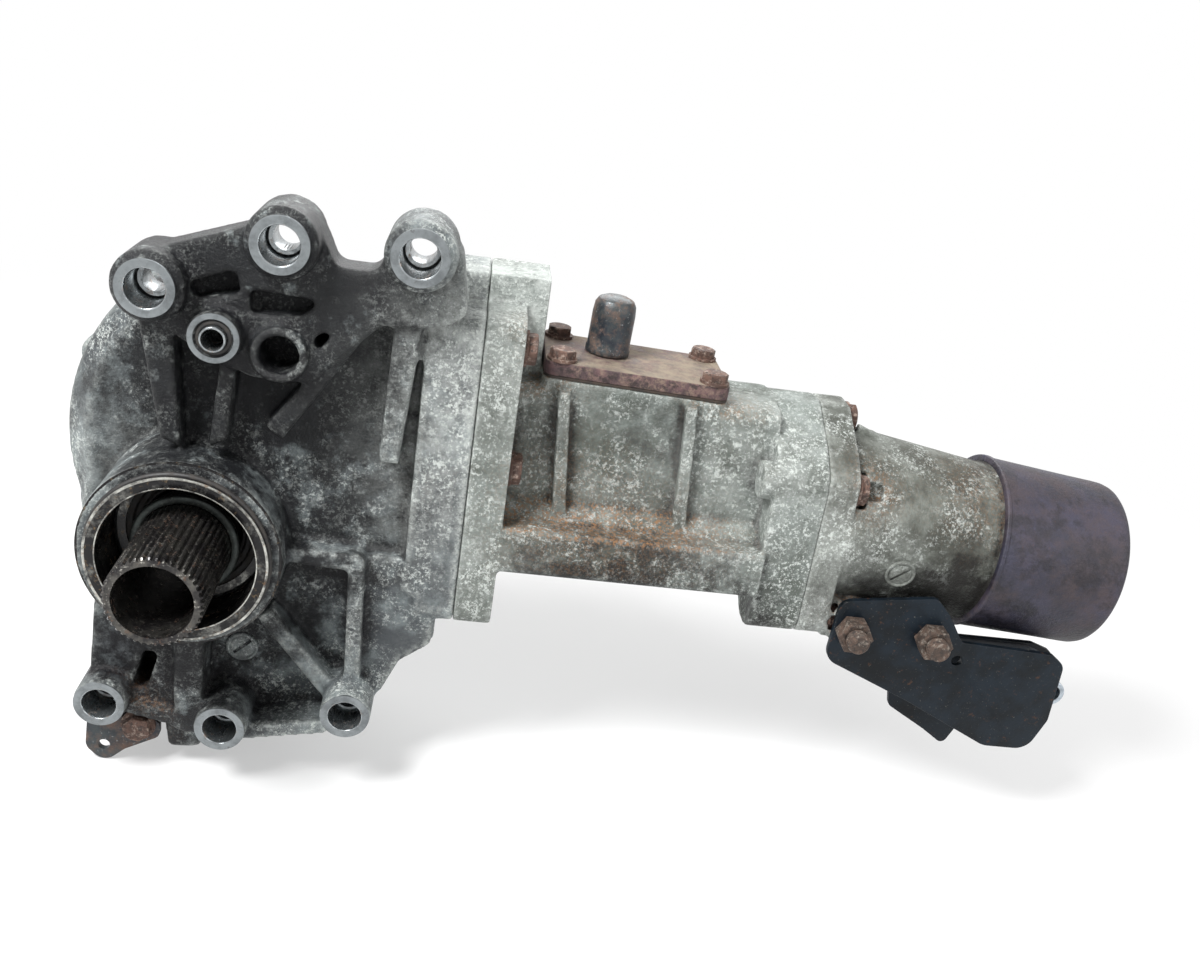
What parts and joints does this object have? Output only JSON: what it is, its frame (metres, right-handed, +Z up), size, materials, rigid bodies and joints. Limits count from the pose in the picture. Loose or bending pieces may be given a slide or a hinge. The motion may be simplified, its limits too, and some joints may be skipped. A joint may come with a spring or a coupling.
{
  "type": "transfer case",
  "caption": "Right-angle transfer case: hollow splined input, bevel-geared output shaft to the rear, ribbed cast housing, dust guard and stay bracket.",
  "frame": {"origin": "where the input shaft's axis meets the mounting face", "axes": "-Y looks out of the mounting face towards the gearbox, +X runs to the rear towards the propeller shaft, +Z is up"},
  "size_m": [0.4852, 0.163, 0.2601],
  "materials": {
    "cast_aluminium": "weathered as-cast",
    "painted_steel": "worn paint",
    "fastener_steel": "rusted zinc",
    "gear_steel": "oiled, hardened",
    "bearing_steel": "ground",
    "rubber": "matte"
  },
  "bodies": {
    "housing": {"mounting_case": "cast_aluminium", "left_case": "cast_aluminium", "middle_case": "cast_aluminium", "output_retainer": "cast_aluminium", "cover_plate": "painted_steel", "cover_gasket": "rubber", "vent_cap": "painted_steel", "dust_guard": "painted_steel", "stay_bracket": "painted_steel", "bracket_sleeve": "fastener_steel", "bracket_studs": "fastener_steel", "bracket_nuts": "fastener_steel", "harness_tab": "painted_steel", "harness_tab_bolt": "fastener_steel", "case_bolts": "fastener_steel", "retainer_bolts": "fastener_steel", "left_case_bolts": "fastener_steel", "cover_bolts": "fastener_steel", "filler_plug": "fastener_steel", "drain_plug": "fastener_steel", "pilot_o_ring": "rubber", "passage_sleeve": "fastener_steel", "passage_o_ring": "rubber", "input_oil_seal": "rubber", "left_oil_seal": "rubber", "output_oil_seal": "rubber", "input_front_cup": "bearing_steel", "input_rear_cup": "bearing_steel", "shaft_front_cup": "bearing_steel", "shaft_rear_cup": "bearing_steel", "pinion_front_cup": "bearing_steel", "pinion_rear_cup": "bearing_steel"},
    "input": {"input_shaft": "gear_steel", "input_dust_ring": "gear_steel", "drive_gear": "gear_steel", "input_front_cone": "bearing_steel", "input_rear_cone": "bearing_steel"},
    "intermediate": {"gear_shaft": "gear_steel", "driven_gear": "gear_steel", "ring_gear": "gear_steel", "shaft_front_cone": "bearing_steel", "shaft_rear_cone": "bearing_steel"},
    "output": {"pinion_shaft": "gear_steel", "pinion_front_cone": "bearing_steel", "pinion_rear_cone": "bearing_steel", "bearing_spacer": "bearing_steel", "pinion_lock_nut": "bearing_steel"}
  },
  "joints": [
    {"name": "intermediate_spin", "type": "hinge", "parent": "housing", "child": "intermediate", "pos_m": [0.06, 0.062, 0.04665], "axis": [0, 1, 0], "continuous": true},
    {"name": "input_spin", "type": "hinge", "parent": "housing", "child": "input", "pos_m": [0, 0, 0], "axis": [0, 1, 0], "continuous": true},
    {"name": "output_spin", "type": "hinge", "parent": "housing", "child": "output", "pos_m": [0.06, 0.062, 0.04665], "axis": [0.9959, 0, -0.0906], "continuous": true}
  ],
  "couplings": [
    {"joint": "input_spin", "follows": "intermediate_spin", "ratio": -0.65217},
    {"joint": "output_spin", "follows": "intermediate_spin", "ratio": -2.2857}
  ]
}
